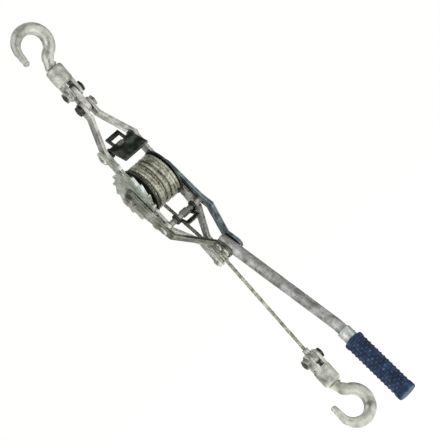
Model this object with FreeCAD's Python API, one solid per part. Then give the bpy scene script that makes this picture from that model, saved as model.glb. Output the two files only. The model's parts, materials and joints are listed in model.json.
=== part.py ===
import FreeCAD, Part
import math
import os
from FreeCAD import Vector

# A hand-cranked cable winch (come along), hanging by its anchor hook.
# Millimetres. While it is built, the origin is the middle of the drum axle:
# +X along the axle, +Z up the frame towards the anchor hook, -Y towards the handle.
# At the end everything is lowered so that the origin is the anchor hook's saddle.

# ---- cable and drum ----
CABLE_D = 4.8
BARREL_R = 19.3
WINDING_HALF = 19.2
WINDING_CORE_R = 27.4          # bottom of the lane that the leaving turn lies in
LEAVING_R = 30.0               # centre line of the leaving turn
WINDING_R = LEAVING_R + CABLE_D / 2
LANE_HALF = 2.9
FLANGE_IN = 19.5
FLANGE_OUT = 22.1
FLANGE_R = 33.6
HUB_R = 7.0
RIVET_CIRCLE_R = 13.2
RIVET_R = 2.5
RIVETS = 6
AXLE_R = 5.0
RUNNING = 0.05                 # radial clearance of a turning fit
GAP = 0.4                      # clearance between pieces that pass each other
SIDE_PLAY = 0.3                # end play along the axle and the shafts

# ---- ratchet wheel, outside the left-hand bar ----
TEETH = 15
PITCH_DEG = 360.0 / TEETH
TIP_R = 39.5
ROOT_R = 34.6
TIP_LAND_DEG = 3.0
ROOT_LAND_DEG = 5.0
WHEEL_IN = 29.0
WHEEL_OUT = 33.0

# ---- frame ----
BAR_T = 4.0
BAR_W = 19.0
BAR_MID = 24.6                 # half the distance between the two bars' middles
BAR_OUT = BAR_MID + BAR_T / 2
BEND_TOP_Z = 66.0
APEX_STRAIGHT_Z = 112.0
APEX_Z = 128.0
APEX_MID = 6.4
APEX_END_R = 9.0
BEND_LOW_Z = -62.0
NOSE_STRAIGHT_Z = -99.0
NOSE_MID = 4.9
NOSE_W = 15.0
NOSE_RIVET_RIM = 3.6
NOSE_Y = -4.0
ROLLER_Z = -131.0
ROLLER_GROOVE_R = 6.2
ROLLER_FLANGE_R = 8.2
ROLLER_HALF = 2.6
ROLLER_PIN_R = 3.0

# ---- pawls: angles are measured about the axle from straight down towards the handle ----
DRIVE_TIP_DEG = -21.0
HOLD_TIP_DEG = DRIVE_TIP_DEG + 7 * PITCH_DEG
DRIVE_PIVOT_R = 58.0
DRIVE_PIVOT_DEG = 14.0
HOLD_PIVOT_Y = -3.0
HOLD_PIVOT_Z = 62.0
PAWL_SHAFT_R = 4.0
PAWL_EYE_R = 7.5
DRIVE_LIFT_DEG = 15.0
HOLD_LIFT_DEG = 18.0
DRIVE_PLAY_DEG = 2.4           # between the steep tooth face and the pawl's tip, so that
HOLD_PLAY_DEG = 3.4            # the tip swings past the tooth without touching it
TIP_PLAY = 1.4                 # between the tooth roots and the pawl's tip
TIP_WIDTH_DEG = 4.2
NOSE_RISE = 2.6                # how far the pawl's nose stands out past the teeth
PAWL_SHOULDER = (0.62, 7.0)    # (share of the reach from pivot to tip, mm away from the axle)
PAWL_BELLY = (0.45, -2.0)
PAWL_TAIL = ((-7.0, 8.5), (-9.0, 6.0))
PLATE_INNER = 4.4              # from the shaft's middle to the release plate's inner face
FINGER_TAB = ((-14.0, 10.5), (-15.5, 8.0), (-3.0, PLATE_INNER))
SPRING_WINDOW = ((-9.0, 0.0), (8.0, 0.0), (8.0, 14.0), (-9.0, 14.0))
HOLD_PLATE_HALF = 20.0         # half the width of each release plate across its ears
DRIVE_PLATE_HALF = 16.0
TAB_HALF = 11.0                # half the width of the plates' finger tabs
PLATE_EAR_T = 3.0
HOLD_PLATE_REACH = 33.0
DRIVE_PLATE_REACH = 17.0
SPRING_HALF = 7.5
SPRING_WIRE_R = 0.7
SPRING_TURNS = 8
SPRING_LEG = 9.0

# ---- handle ----
THROUGH = 60.0                 # more than half the width of anything that is cut across
ARM_T = 4.0
LEFT_ARM_MID = 36.5
RIGHT_ARM_MID = 30.1
ARM_EYE_R = 12.5
ARM_NECK_Z = -70.0
ARM_REAR = (-5.5, -58.0)       # (y, z) of the arm's edges at the drive pawl's shaft
ARM_FRONT = (-22.5, -54.0)
ARM_CLOSE_Z = -110.0
ARM_HALF_W = 7.5
ARM_ON_TUBE = 20.0
TUBE_X = 2.0
TUBE_R = 7.75
TUBE_WALL = 1.5
TUBE_TOP = (-44.0, -112.0)     # (y, z) where the tube starts, between the arms
TUBE_BEND = (-147.0, -291.0)
GRIP_END = (-172.0, -408.5)
TUBE_BEND_R = 45.0
AXLE_HEAD_R = 9.5
AXLE_HEAD_L = 3.6
AXLE_NUT_FLATS = 17.0
AXLE_NUT_L = 6.0
WASHER_R = 11.0
YOKE_RIVET_R = 3.0
RIVET_RIM = 2.4                # how far a rivet head stands out round its pin
RIVET_HEAD_RISE = 0.8          # a head's height, as a share of its rim
RIVET_HEAD_TOP = 0.6           # the radius of a head's flat top, as a share of its own
YOKE_RIVETS_AT = (6.5, 19.0)   # along the tube from its top
COLLAR_R = 9.6
COLLAR_L = 16.0
GRIP_R = 13.7
GRIP_L = 95.5
GRIP_STEP = 0.9                # how far the lip and foot stand out from the sleeve
GRIP_LIP_L = 7.0
GRIP_FOOT_L = 10.0
GRIP_CAP = 3.5                 # thickness of the closed bottom
GRIP_ROUNDING = 2.0

# ---- anchor and load ends ----
LINK_T = 8.0
LINK_END_R = 9.0
LINK_LENGTH = 24.0             # between its two bolts
BOLT_R = 5.0
BOLT_FLATS = 14.0
BOLT_HEAD = 4.5
NUT_L = 5.0
THREAD_END = 1.0               # what shows of a bolt beyond its nut
BLOCK_R = 12.5
BLOCK_EAR_R = 10.0
EAR_IN = 4.4
EAR_OUT = 9.4
BLOCK_BASE = 14.0              # from the bolt to the base of the slot
BLOCK_LENGTH = 41.0            # from the bolt to the face that the hook leaves
BLOCK_ROUNDING = 4.5
EAR_ROUNDING = 2.5
POCKET_R = 9.6
POCKET_DEPTH = 15.0
SHANK_R = 6.0
HOOK_NUT_R = 9.0
HOOK_NUT_L = 11.0
HOOK_R = 22.0                  # centre line of the bowl
HOOK_SECTION_R = 8.3
NECK_R = 7.2
TIP_TAPER = 3.4                # how much thinner the bar is where the bowl ends
TAPER_FROM_DEG = 105           # where on the bowl the bar starts to get thinner
HOOK_JOIN_DEG = 60             # how far the neck leans before it turns into the bowl
HOOK_STEP_DEG = 15
HOOK_TIP_R = 4.2
TIP_FLARE = 0.9                # how far the tip stands out from the bowl's side
TIP_RUNS = 3                   # straight runs from the bowl to the tip
TIP_CAP = 1.03                 # the round end of the tip, as a multiple of the last section
TIP_BACK = 13.0                # from the middle of the bowl back to the tip
HOOK_BOWL = 38.0               # from the block's face to the middle of the bowl
SADDLE_R = HOOK_R - HOOK_SECTION_R + 0.9
ANCHOR_BOLT_Z = APEX_Z + LINK_LENGTH
ANCHOR_FACE_Z = ANCHOR_BOLT_Z + BLOCK_LENGTH
LOAD_BOLT_Z = -303.0
LOAD_FACE_Z = LOAD_BOLT_Z - BLOCK_LENGTH
CABLE_Y = NOSE_Y - ROLLER_GROOVE_R - CABLE_D / 2
TERMINAL_TOP_Z = -287.0
TERMINAL_EYE_R = 9.0
TERMINAL_NECK_R = 4.3
ORIGIN_Z = ANCHOR_FACE_Z + HOOK_BOWL


# ---------------- helpers ----------------
def cyl_x(radius, x0, x1, y, z):
    return Part.makeCylinder(radius, x1 - x0, Vector(x0, y, z), Vector(1, 0, 0))


def cyl_z(radius, z0, z1, x=0.0, y=0.0):
    return Part.makeCylinder(radius, z1 - z0, Vector(x, y, z0), Vector(0, 0, 1))


def ring_x(outer, inner, x0, x1, y, z):
    return cyl_x(outer, x0, x1, y, z).cut(cyl_x(inner, x0 - 1, x1 + 1, y, z))


def hexagon_x(across_flats, x0, x1, y, z):
    corner = across_flats / math.sqrt(3)
    points = [
        Vector(x0, y + corner * math.cos(math.radians(a)), z + corner * math.sin(math.radians(a)))
        for a in range(0, 361, 60)
    ]
    return Part.Face(Part.makePolygon(points)).extrude(Vector(x1 - x0, 0, 0))


def slab_x(outline, x0, x1):
    """A plate with the given (y, z) outline, from x0 to x1."""
    points = [Vector(x0, y, z) for y, z in outline + outline[:1]]
    return Part.Face(Part.makePolygon(points)).extrude(Vector(x1 - x0, 0, 0))


def slab_y(outline, y0, y1):
    """A plate with the given (x, z) outline, from y0 to y1."""
    points = [Vector(x, y0, z) for x, z in outline + outline[:1]]
    return Part.Face(Part.makePolygon(points)).extrude(Vector(0, y1 - y0, 0))


def strip(path, thickness):
    """The outline of a strip of even thickness along a path of (x, z) points."""
    half = thickness / 2
    sides = []
    for k in range(len(path)):
        before = path[max(k - 1, 0)]
        after = path[min(k + 1, len(path) - 1)]
        here = path[k]
        normals = []
        for a, b in ((before, here), (here, after)):
            length = math.hypot(b[0] - a[0], b[1] - a[1])
            if length > 0:
                normals.append((-(b[1] - a[1]) / length, (b[0] - a[0]) / length))
        nx = sum(n[0] for n in normals)
        nz = sum(n[1] for n in normals)
        size = math.hypot(nx, nz)
        nx, nz = nx / size, nz / size
        stretch = half / (nx * normals[0][0] + nz * normals[0][1])
        sides.append((here, nx * stretch, nz * stretch))
    left = [(p[0] + dx, p[1] + dz) for p, dx, dz in sides]
    right = [(p[0] - dx, p[1] - dz) for p, dx, dz in reversed(sides)]
    return left + right


def mirrored(shape):
    return shape.mirror(Vector(0, 0, 0), Vector(1, 0, 0))


def about_axle(radius, degrees):
    """The (y, z) point at an angle from straight down towards the handle."""
    a = math.radians(degrees)
    return (-radius * math.sin(a), -radius * math.cos(a))


def rounded(shape, radius, keep):
    """Fillets the edges that keep() chooses."""
    return shape.makeFillet(radius, [e for e in shape.Edges if keep(e)])


def is_circle(edge):
    return edge.Curve.TypeId == "Part::GeomCircle"


def pipe(points, bend_r, radius):
    """A round bar along straight runs joined by tangent arcs, in the plane x = points[0][0]."""
    corners = [Vector(*p) for p in points]
    edges = []
    start = corners[0]
    for k in range(1, len(corners) - 1):
        into = (corners[k] - corners[k - 1]).normalize()
        out = (corners[k + 1] - corners[k]).normalize()
        half_turn = into.getAngle(out) / 2
        cut = bend_r * math.tan(half_turn)
        first = corners[k] - into * cut
        last = corners[k] + out * cut
        inward = (out - into).normalize()
        middle = corners[k] + inward * (bend_r / math.cos(half_turn) - bend_r)
        edges.append(Part.LineSegment(start, first).toShape())
        edges.append(Part.Arc(first, middle, last).toShape())
        start = last
    edges.append(Part.LineSegment(start, corners[-1]).toShape())
    path = Part.Wire(edges)
    along = (corners[1] - corners[0]).normalize()
    section = Part.Wire([Part.Circle(corners[0], along, radius).toShape()])
    sweep = Part.BRepOffsetAPI.MakePipeShell(path)
    sweep.add(section)
    sweep.build()
    sweep.makeSolid()
    return sweep.shape()


def bolt_x(radius, head_flats, head_l, x_head, x_end, y, z):
    """A hexagon-headed bolt. The head is outside x_head, on the side away from x_end."""
    way = 1 if x_end > x_head else -1
    shaft = cyl_x(radius, min(x_head, x_end), max(x_head, x_end), y, z)
    x_out = x_head - way * head_l
    head = hexagon_x(head_flats, min(x_out, x_head), max(x_out, x_head), y, z)
    chamfer_r = head_flats / math.sqrt(3) * 1.02
    trim = Part.makeCone(
        chamfer_r * 0.9, chamfer_r + head_l, head_l * 1.2, Vector(x_out, y, z), Vector(way, 0, 0)
    )
    return shaft.fuse(head.common(trim)).removeSplitter()


def nut_x(flats, bore, x0, x1, y, z):
    return hexagon_x(flats, x0, x1, y, z).cut(cyl_x(bore, x0 - 1, x1 + 1, y, z))


# ---------------- frame ----------------
def frame_bar():
    """The right-hand bar: a flat bar bent in to the apex at the top and to the nose below."""
    path = [
        (NOSE_MID, ROLLER_Z - NOSE_W),
        (NOSE_MID, NOSE_STRAIGHT_Z),
        (BAR_MID, BEND_LOW_Z),
        (BAR_MID, BEND_TOP_Z),
        (APEX_MID, APEX_STRAIGHT_Z),
        (APEX_MID, APEX_Z + APEX_END_R * 2),
    ]
    bar = slab_y(strip(path, BAR_T), -BAR_W, BAR_W)
    half = BAR_W / 2
    nose_half = NOSE_W / 2
    side = slab_x(
        [
            (-half, BEND_LOW_Z),
            (NOSE_Y - nose_half, NOSE_STRAIGHT_Z),
            (NOSE_Y - nose_half, ROLLER_Z),
            (NOSE_Y + nose_half, ROLLER_Z),
            (NOSE_Y + nose_half, NOSE_STRAIGHT_Z),
            (half, BEND_LOW_Z),
            (half, BEND_TOP_Z),
            (APEX_END_R, APEX_STRAIGHT_Z),
            (APEX_END_R, APEX_Z),
            (-APEX_END_R, APEX_Z),
            (-APEX_END_R, APEX_STRAIGHT_Z),
            (-half, BEND_TOP_Z),
        ],
        0,
        BAR_OUT + BAR_T,
    )
    side = side.fuse(cyl_x(APEX_END_R, 0, BAR_OUT, 0, APEX_Z))
    side = side.fuse(cyl_x(nose_half, 0, BAR_OUT, NOSE_Y, ROLLER_Z))
    bar = bar.common(side).removeSplitter()
    for radius, y, z in (
        (HUB_R + RUNNING, 0, 0),
        (BOLT_R, 0, APEX_Z),
        (PAWL_SHAFT_R + RUNNING, HOLD_PIVOT_Y, HOLD_PIVOT_Z),
        (ROLLER_PIN_R, NOSE_Y, ROLLER_Z),
    ):
        bar = bar.cut(cyl_x(radius, 0, BAR_OUT + BAR_T, y, z))
    return bar


def riveted_pin(radius, x0, x1, rim, y, z):
    """A pin along X, riveted over outside x0 and x1 to heads that stand out by rim."""
    head_r = radius + rim
    head_l = rim * RIVET_HEAD_RISE
    pin = cyl_x(radius, x0, x1, y, z)
    top_r = head_r * RIVET_HEAD_TOP
    for x, way in ((x0, -1), (x1, 1)):
        head = Part.makeCone(head_r, top_r, head_l, Vector(x, y, z), Vector(way, 0, 0))
        pin = pin.fuse(head)
    return pin.removeSplitter()


def nose_rivet(out):
    return riveted_pin(ROLLER_PIN_R, -out, out, NOSE_RIVET_RIM, NOSE_Y, ROLLER_Z)


def torsion_spring(y, z, leg_y, leg_z):
    """A coil of separate turns round a pawl shaft, with a straight leg at one end."""
    coil_r = PAWL_SHAFT_R + SPRING_WIRE_R + RUNNING
    step = 2 * SPRING_WIRE_R
    first = -step * (SPRING_TURNS - 1) / 2
    solids = [
        Part.makeTorus(coil_r, SPRING_WIRE_R * 0.995, Vector(first + step * k, y, z), Vector(1, 0, 0))
        for k in range(SPRING_TURNS)
    ]
    way = Vector(0, leg_y, leg_z).normalize()
    side = Vector(0, -way.z, way.y)
    foot = Vector(first, y, z) + side * coil_r
    leg = Part.makeCylinder(SPRING_WIRE_R * 0.9, SPRING_LEG, foot, way)
    solids[0] = solids[0].fuse(leg)
    return Part.makeCompound(solids)


def guide_roller():
    """The grooved roller that the cable leaves the nose over."""
    y, z = NOSE_Y, ROLLER_Z
    roller = cyl_x(ROLLER_FLANGE_R, -ROLLER_HALF, ROLLER_HALF, y, z)
    groove = Part.makeTorus(
        ROLLER_GROOVE_R + CABLE_D / 2, CABLE_D / 2 + 0.1, Vector(0, y, z), Vector(1, 0, 0)
    )
    return roller.cut(groove).cut(cyl_x(ROLLER_PIN_R + RUNNING, -BAR_MID, BAR_MID, y, z))


# ---------------- drum ----------------
def ratchet_wheel():
    outline = []
    for k in range(TEETH):
        face = DRIVE_TIP_DEG + k * PITCH_DEG
        outline += [
            about_axle(TIP_R, face - TIP_LAND_DEG),
            about_axle(TIP_R, face),
            about_axle(ROOT_R, face),
            about_axle(ROOT_R, face + ROOT_LAND_DEG),
        ]
    return slab_x(outline, -WHEEL_OUT, -WHEEL_IN).cut(cyl_x(HUB_R, -WHEEL_OUT - 1, 0, 0, 0))


def rivet_places():
    return [about_axle(RIVET_CIRCLE_R, k * 360 / RIVETS) for k in range(RIVETS)]


def with_rivet_holes(shape):
    for y, z in rivet_places():
        shape = shape.cut(cyl_x(RIVET_R, -BAR_OUT, BAR_OUT, y, z))
    return shape


def drum_hub():
    """The tube that the drum and ratchet wheel are fixed on. It turns in both bars."""
    return ring_x(HUB_R, AXLE_R + RUNNING, -WHEEL_OUT, BAR_OUT + SIDE_PLAY, 0, 0)


def drum_barrel():
    return with_rivet_holes(ring_x(BARREL_R, HUB_R, -FLANGE_IN, FLANGE_IN, 0, 0))


def drum_flange():
    """The right-hand flange, a thin disc with a rounded rim."""
    flange = cyl_x(FLANGE_R, FLANGE_IN, FLANGE_OUT, 0, 0)
    flange = rounded(flange, 1.0, is_circle)
    return with_rivet_holes(flange.cut(cyl_x(HUB_R, 0, BAR_OUT, 0, 0)))


def drum_rivets():
    """Rivets that clamp both flanges to the barrel, flush with the flanges' outer faces."""
    return Part.makeCompound(
        [cyl_x(RIVET_R, -FLANGE_OUT, FLANGE_OUT, y, z) for y, z in rivet_places()]
    )


def hub_washer():
    """The thrust washer between the left-hand bar and the ratchet wheel."""
    return ring_x(WASHER_R, HUB_R, -WHEEL_IN, -BAR_OUT - SIDE_PLAY, 0, 0)


def cable_winding():
    """The wound cable as one solid, with a lane in the top layer for the leaving turn."""
    winding = ring_x(WINDING_R, BARREL_R, -WINDING_HALF, WINDING_HALF, 0, 0)
    lane = ring_x(WINDING_R + 1, WINDING_CORE_R, -LANE_HALF, LANE_HALF, 0, 0)
    return winding.cut(lane)


# ---------------- pawls ----------------
DRIVE_PIVOT = about_axle(DRIVE_PIVOT_R, DRIVE_PIVOT_DEG)
HOLD_PIVOT = (HOLD_PIVOT_Y, HOLD_PIVOT_Z)


class PawlShape:
    """A pawl's directions: u from its pivot to its tip, v away from the axle."""

    def __init__(self, pivot, tooth_deg, play_deg, lift_deg):
        self.pivot = pivot
        self.edge = tooth_deg + play_deg
        self.tip = about_axle(ROOT_R + TIP_PLAY, self.edge)
        ry, rz = self.tip[0] - pivot[0], self.tip[1] - pivot[1]
        self.reach = math.hypot(ry, rz)
        self.u = (ry / self.reach, rz / self.reach)
        self.v = (-self.u[1], self.u[0])
        if self.v[0] * pivot[0] + self.v[1] * pivot[1] < 0:
            self.v = (-self.v[0], -self.v[1])
        moves_out = -rz * self.tip[0] + ry * self.tip[1] > 0
        self.lift = lift_deg if moves_out else -lift_deg

    def at(self, u, v):
        y = self.pivot[0] + u * self.u[0] + v * self.v[0]
        z = self.pivot[1] + u * self.u[1] + v * self.v[1]
        return (y, z)

    def lifted(self, shape):
        """Swings a shape drawn with the pawl in the teeth to where the pawl is held clear."""
        shape.rotate(Vector(0, *self.pivot), Vector(1, 0, 0), self.lift)
        return shape


def pawl(shape):
    """The toothed plate in the ratchet wheel's plane, with a finger tab behind its pivot."""
    outline = [
        shape.tip,
        about_axle(TIP_R + NOSE_RISE, shape.edge),
        shape.at(shape.reach * PAWL_SHOULDER[0], PAWL_SHOULDER[1]),
        shape.at(0, PAWL_EYE_R),
        shape.at(*PAWL_TAIL[0]),
        shape.at(*PAWL_TAIL[1]),
        shape.at(0, -PAWL_EYE_R),
        shape.at(shape.reach * PAWL_BELLY[0], PAWL_BELLY[1]),
        about_axle(ROOT_R + TIP_PLAY, shape.edge + TIP_WIDTH_DEG),
    ]
    plate = slab_x(outline, -WHEEL_OUT, -WHEEL_IN)
    plate = plate.fuse(cyl_x(PAWL_EYE_R, -WHEEL_OUT, -WHEEL_IN, *shape.pivot)).removeSplitter()
    plate = plate.cut(cyl_x(PAWL_SHAFT_R, -WHEEL_OUT - 1, 0, *shape.pivot))
    return shape.lifted(plate)


def release_plate(shape, half, reach):
    """A plate with two ears on the pawl's shaft, pressed with a finger to lift the pawl."""
    ears = cyl_x(PAWL_EYE_R - 0.5, -half, half, *shape.pivot)
    ears = ears.cut(cyl_x(PAWL_EYE_R, -half + PLATE_EAR_T, half - PLATE_EAR_T, *shape.pivot))
    plate = slab_x(
        [
            shape.at(0, PLATE_INNER),
            shape.at(reach, PLATE_INNER),
            shape.at(reach, PAWL_EYE_R),
            shape.at(0, PAWL_EYE_R),
        ],
        -half,
        half,
    )
    root = [shape.at(1.0, PLATE_INNER), shape.at(1.0, PAWL_EYE_R), shape.at(0, PAWL_EYE_R)]
    tab = slab_x([shape.at(*point) for point in FINGER_TAB] + root, -TAB_HALF, TAB_HALF)
    window = slab_x([shape.at(*point) for point in SPRING_WINDOW], -SPRING_HALF, SPRING_HALF)
    solid = ears.fuse(plate).fuse(tab).removeSplitter()
    solid = solid.cut(cyl_x(PAWL_SHAFT_R, -half - 1, half + 1, *shape.pivot)).cut(window)
    return shape.lifted(solid)


def pawl_shaft(shape, x0, x1):
    """The shaft that a pawl and its release plate are fixed on, riveted over at both ends."""
    return riveted_pin(PAWL_SHAFT_R, x0, x1, RIVET_RIM, *shape.pivot)


def pawl_collar(shape, x0, x1):
    """A ring that is tight on the pawl's shaft and takes up the space beside the pawl."""
    return ring_x(PAWL_EYE_R, PAWL_SHAFT_R, x0, x1, *shape.pivot)


# ---------------- handle ----------------
def along_tube(distance, across=0.0):
    """The (y, z) point down the tube's upper run, across being positive away from the frame."""
    ty, tz = TUBE_TOP
    by, bz = TUBE_BEND
    run = math.hypot(by - ty, bz - tz)
    dy, dz = (by - ty) / run, (bz - tz) / run
    return (ty + dy * distance + dz * across, tz + dz * distance - dy * across)


def yoke_arm(mid, tube_side):
    """An arm, flat beside the frame, then bent in to the tube. tube_side is -1 left, +1 right."""
    close = TUBE_X + tube_side * (TUBE_R + 0.1 + ARM_T / 2)
    end_y, end_z = along_tube(ARM_ON_TUBE)
    path = [(close, end_z - 12), (close, ARM_CLOSE_Z), (mid, ARM_NECK_Z), (mid, ARM_EYE_R * 2)]
    plate = slab_y(strip(path, ARM_T), 2 * TUBE_TOP[0], THROUGH)
    side = slab_x(
        [
            (ARM_EYE_R * 0.96, -ARM_EYE_R * 0.27),
            ARM_REAR,
            along_tube(0, -ARM_HALF_W),
            along_tube(ARM_ON_TUBE, -ARM_HALF_W),
            along_tube(ARM_ON_TUBE, ARM_HALF_W),
            along_tube(0, ARM_HALF_W),
            ARM_FRONT,
            (-ARM_EYE_R, 0),
            (0, 0),
        ],
        -THROUGH,
        THROUGH,
    )
    side = side.fuse(cyl_x(ARM_EYE_R, -THROUGH, THROUGH, 0, 0))
    side = side.fuse(cyl_x(ARM_HALF_W, -THROUGH, THROUGH, end_y, end_z))
    arm = plate.common(side).removeSplitter()
    arm = arm.cut(cyl_x(AXLE_R, -THROUGH, THROUGH, 0, 0))
    arm = arm.cut(cyl_x(PAWL_SHAFT_R + RUNNING, -THROUGH, THROUGH, *DRIVE_PIVOT))
    for distance in YOKE_RIVETS_AT:
        arm = arm.cut(cyl_x(YOKE_RIVET_R, -THROUGH, THROUGH, *along_tube(distance)))
    return arm


def yoke_rivets():
    half = TUBE_R + 0.1 + ARM_T
    return Part.makeCompound(
        [
            riveted_pin(YOKE_RIVET_R, TUBE_X - half, TUBE_X + half, RIVET_RIM, *along_tube(distance))
            for distance in YOKE_RIVETS_AT
        ]
    )


def axle_bolt():
    """The through bolt that the yoke is fixed on, with a low domed head outside the right arm."""
    left = -(LEFT_ARM_MID + ARM_T / 2 + AXLE_NUT_L + 1.0)
    right = RIGHT_ARM_MID + ARM_T / 2
    shaft = cyl_x(AXLE_R, left, right, 0, 0)
    ball_r = (AXLE_HEAD_R ** 2 + AXLE_HEAD_L ** 2) / (2 * AXLE_HEAD_L)
    ball = Part.makeSphere(ball_r, Vector(right + AXLE_HEAD_L - ball_r, 0, 0))
    head = ball.common(cyl_x(AXLE_HEAD_R, right, right + AXLE_HEAD_L, 0, 0))
    return shaft.fuse(head).removeSplitter()


def axle_nut():
    x1 = -(LEFT_ARM_MID + ARM_T / 2)
    return nut_x(AXLE_NUT_FLATS, AXLE_R, x1 - AXLE_NUT_L, x1, 0, 0)


def axle_washers():
    """One washer inside each yoke arm."""
    right_in = RIGHT_ARM_MID - ARM_T / 2
    left_in = LEFT_ARM_MID - ARM_T / 2
    return Part.makeCompound(
        [
            ring_x(WASHER_R, AXLE_R, BAR_OUT + 2 * SIDE_PLAY, right_in, 0, 0),
            ring_x(WASHER_R, AXLE_R, -left_in, -WHEEL_OUT - SIDE_PLAY, 0, 0),
        ]
    )


def handle_tube():
    points = [(TUBE_X, *TUBE_TOP), (TUBE_X, *TUBE_BEND), (TUBE_X, *GRIP_END)]
    tube = pipe(points, TUBE_BEND_R, TUBE_R)
    tube = tube.cut(pipe(points, TUBE_BEND_R, TUBE_R - TUBE_WALL))
    for distance in YOKE_RIVETS_AT:
        tube = tube.cut(cyl_x(YOKE_RIVET_R, -THROUGH, THROUGH, *along_tube(distance)))
    return tube


def on_grip(distance):
    """The point on the handle's lower run, measured back from its end."""
    end = Vector(TUBE_X, *GRIP_END)
    back = (Vector(TUBE_X, *TUBE_BEND) - end).normalize()
    return end + back * distance, back


def handle_collar():
    start, back = on_grip(GRIP_L + 0.3)
    collar = Part.makeCylinder(COLLAR_R, COLLAR_L, start, back)
    collar = rounded(collar, 1.2, is_circle)
    return collar.cut(Part.makeCylinder(TUBE_R, COLLAR_L * 2, start - back * 2, back))


def handle_grip():
    """A moulded sleeve with a rolled lip at each end and a closed, rounded bottom."""
    start, back = on_grip(-GRIP_CAP)
    body = Part.makeCylinder(GRIP_R - GRIP_STEP, GRIP_L + GRIP_CAP - GRIP_ROUNDING, start, back)
    lip = Part.makeCylinder(GRIP_R, GRIP_LIP_L, on_grip(GRIP_L - GRIP_LIP_L)[0], back)
    foot = Part.makeCylinder(GRIP_R, GRIP_FOOT_L, start, back)
    lip, foot = [rounded(ring, GRIP_ROUNDING, is_circle) for ring in (lip, foot)]
    grip = body.cut(foot).fuse(lip).fuse(foot).removeSplitter()
    return grip.cut(Part.makeCylinder(TUBE_R, GRIP_L * 2, on_grip(0)[0], back))


# ---------------- anchor and load ends ----------------
def link_bar():
    z0, z1 = APEX_Z, ANCHOR_BOLT_Z
    half = LINK_T / 2
    bar = cyl_x(LINK_END_R, -half, half, 0, z0).fuse(cyl_x(LINK_END_R, -half, half, 0, z1))
    bar = bar.fuse(Part.makeBox(LINK_T, 2 * LINK_END_R, z1 - z0, Vector(-half, -LINK_END_R, z0)))
    bar = bar.removeSplitter()
    bar = rounded(bar, 1.5, lambda e: e.BoundBox.XLength < 0.01)
    for z in (z0, z1):
        bar = bar.cut(cyl_x(BOLT_R + RUNNING, -LINK_T, LINK_T, 0, z))
    return bar


def block_bolt(end, y, z):
    return bolt_x(BOLT_R, BOLT_FLATS, BOLT_HEAD, EAR_OUT, -end, y, z)


def block_nut(y, z):
    return nut_x(BOLT_FLATS, BOLT_R, -EAR_OUT - NUT_L, -EAR_OUT, y, z)


def swivel_block():
    """A forged clevis, bolt at the origin and hook leaving along +Z."""
    ear = cyl_x(BLOCK_EAR_R, -EAR_OUT, EAR_OUT, 0, 0)
    ear = ear.fuse(
        Part.makeBox(2 * EAR_OUT, 2 * BLOCK_EAR_R, BLOCK_BASE + 8, Vector(-EAR_OUT, -BLOCK_EAR_R, 0))
    )
    ear = ear.removeSplitter()
    ear = rounded(ear, EAR_ROUNDING, lambda e: abs(e.BoundBox.ZLength) > BLOCK_BASE and e.Length > 20)
    base = Part.makeCylinder(BLOCK_R, BLOCK_LENGTH - BLOCK_BASE, Vector(0, 0, BLOCK_BASE))
    base = rounded(base, BLOCK_ROUNDING, lambda e: e.BoundBox.ZLength < 0.01)
    block = ear.fuse(base).removeSplitter()
    slot_corner = Vector(-EAR_IN, -2 * BLOCK_EAR_R, -BLOCK_EAR_R)
    slot = Part.makeBox(2 * EAR_IN, 4 * BLOCK_EAR_R, BLOCK_EAR_R + BLOCK_BASE, slot_corner)
    block = block.cut(slot)
    block = block.cut(cyl_z(POCKET_R, BLOCK_BASE - 1, BLOCK_BASE + POCKET_DEPTH))
    block = block.cut(cyl_z(SHANK_R + RUNNING, 0, BLOCK_LENGTH + 1))
    return block.cut(cyl_x(BOLT_R, -BLOCK_R * 2, BLOCK_R * 2, 0, 0))


def hook():
    """A drop-forged swivel hook: shank along +Z from the block's face at z = 0, bowl beyond."""
    wires = []
    for x, z, wide, lean in hook_line():
        ring = Part.Wire([Part.Circle(Vector(0, 0, 0), Vector(0, 0, 1), wide).toShape()])
        ring.rotate(Vector(0, 0, 0), Vector(0, 1, 0), lean)
        ring.translate(Vector(x, 0, z))
        wires.append(ring)
    body = Part.makeLoft(wires, True, False)
    x, z, wide, lean = hook_line()[-1]
    body = body.fuse(Part.makeSphere(wide * TIP_CAP, Vector(x, 0, z)))
    saddle = Part.makeCylinder(
        SADDLE_R, 4 * HOOK_SECTION_R, Vector(0, -2 * HOOK_SECTION_R, HOOK_BOWL), Vector(0, 1, 0)
    )
    body = body.cut(saddle)
    shank = cyl_z(SHANK_R, -BLOCK_LENGTH + BLOCK_BASE + 2, 2)
    return body.fuse(shank).removeSplitter()


def hook_line():
    """(x, z, section radius, lean from +Z towards +X in degrees), from the shank to the tip."""
    join = math.radians(HOOK_JOIN_DEG)
    join_x = HOOK_R * math.cos(join)
    neck_r = join_x / (1 - math.cos(join))
    neck_z = HOOK_BOWL - (HOOK_R + neck_r) * math.sin(join)
    line = []
    for turn in range(0, HOOK_JOIN_DEG, HOOK_STEP_DEG):
        a = math.radians(turn)
        x = neck_r * (1 - math.cos(a))
        z = max(neck_z + neck_r * math.sin(a), GAP)
        line.append((x, z, NECK_R + (HOOK_SECTION_R - NECK_R) * turn / HOOK_JOIN_DEG, turn))
    for degrees in range(HOOK_JOIN_DEG, -181, -HOOK_STEP_DEG):
        a = math.radians(degrees)
        past = max(0, -degrees - TAPER_FROM_DEG) / (180 - TAPER_FROM_DEG)
        wide = HOOK_SECTION_R - TIP_TAPER * past
        x = HOOK_R * math.cos(a)
        z = HOOK_BOWL - HOOK_R * math.sin(a)
        line.append((x, z, wide, degrees))
    last_wide = line[-1][2]
    for k in range(1, TIP_RUNS + 1):
        share = k / TIP_RUNS
        wide = last_wide + (HOOK_TIP_R - last_wide) * share
        line.append((-HOOK_R - TIP_FLARE * share, HOOK_BOWL - TIP_BACK * share, wide, -176.0))
    return line


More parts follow.
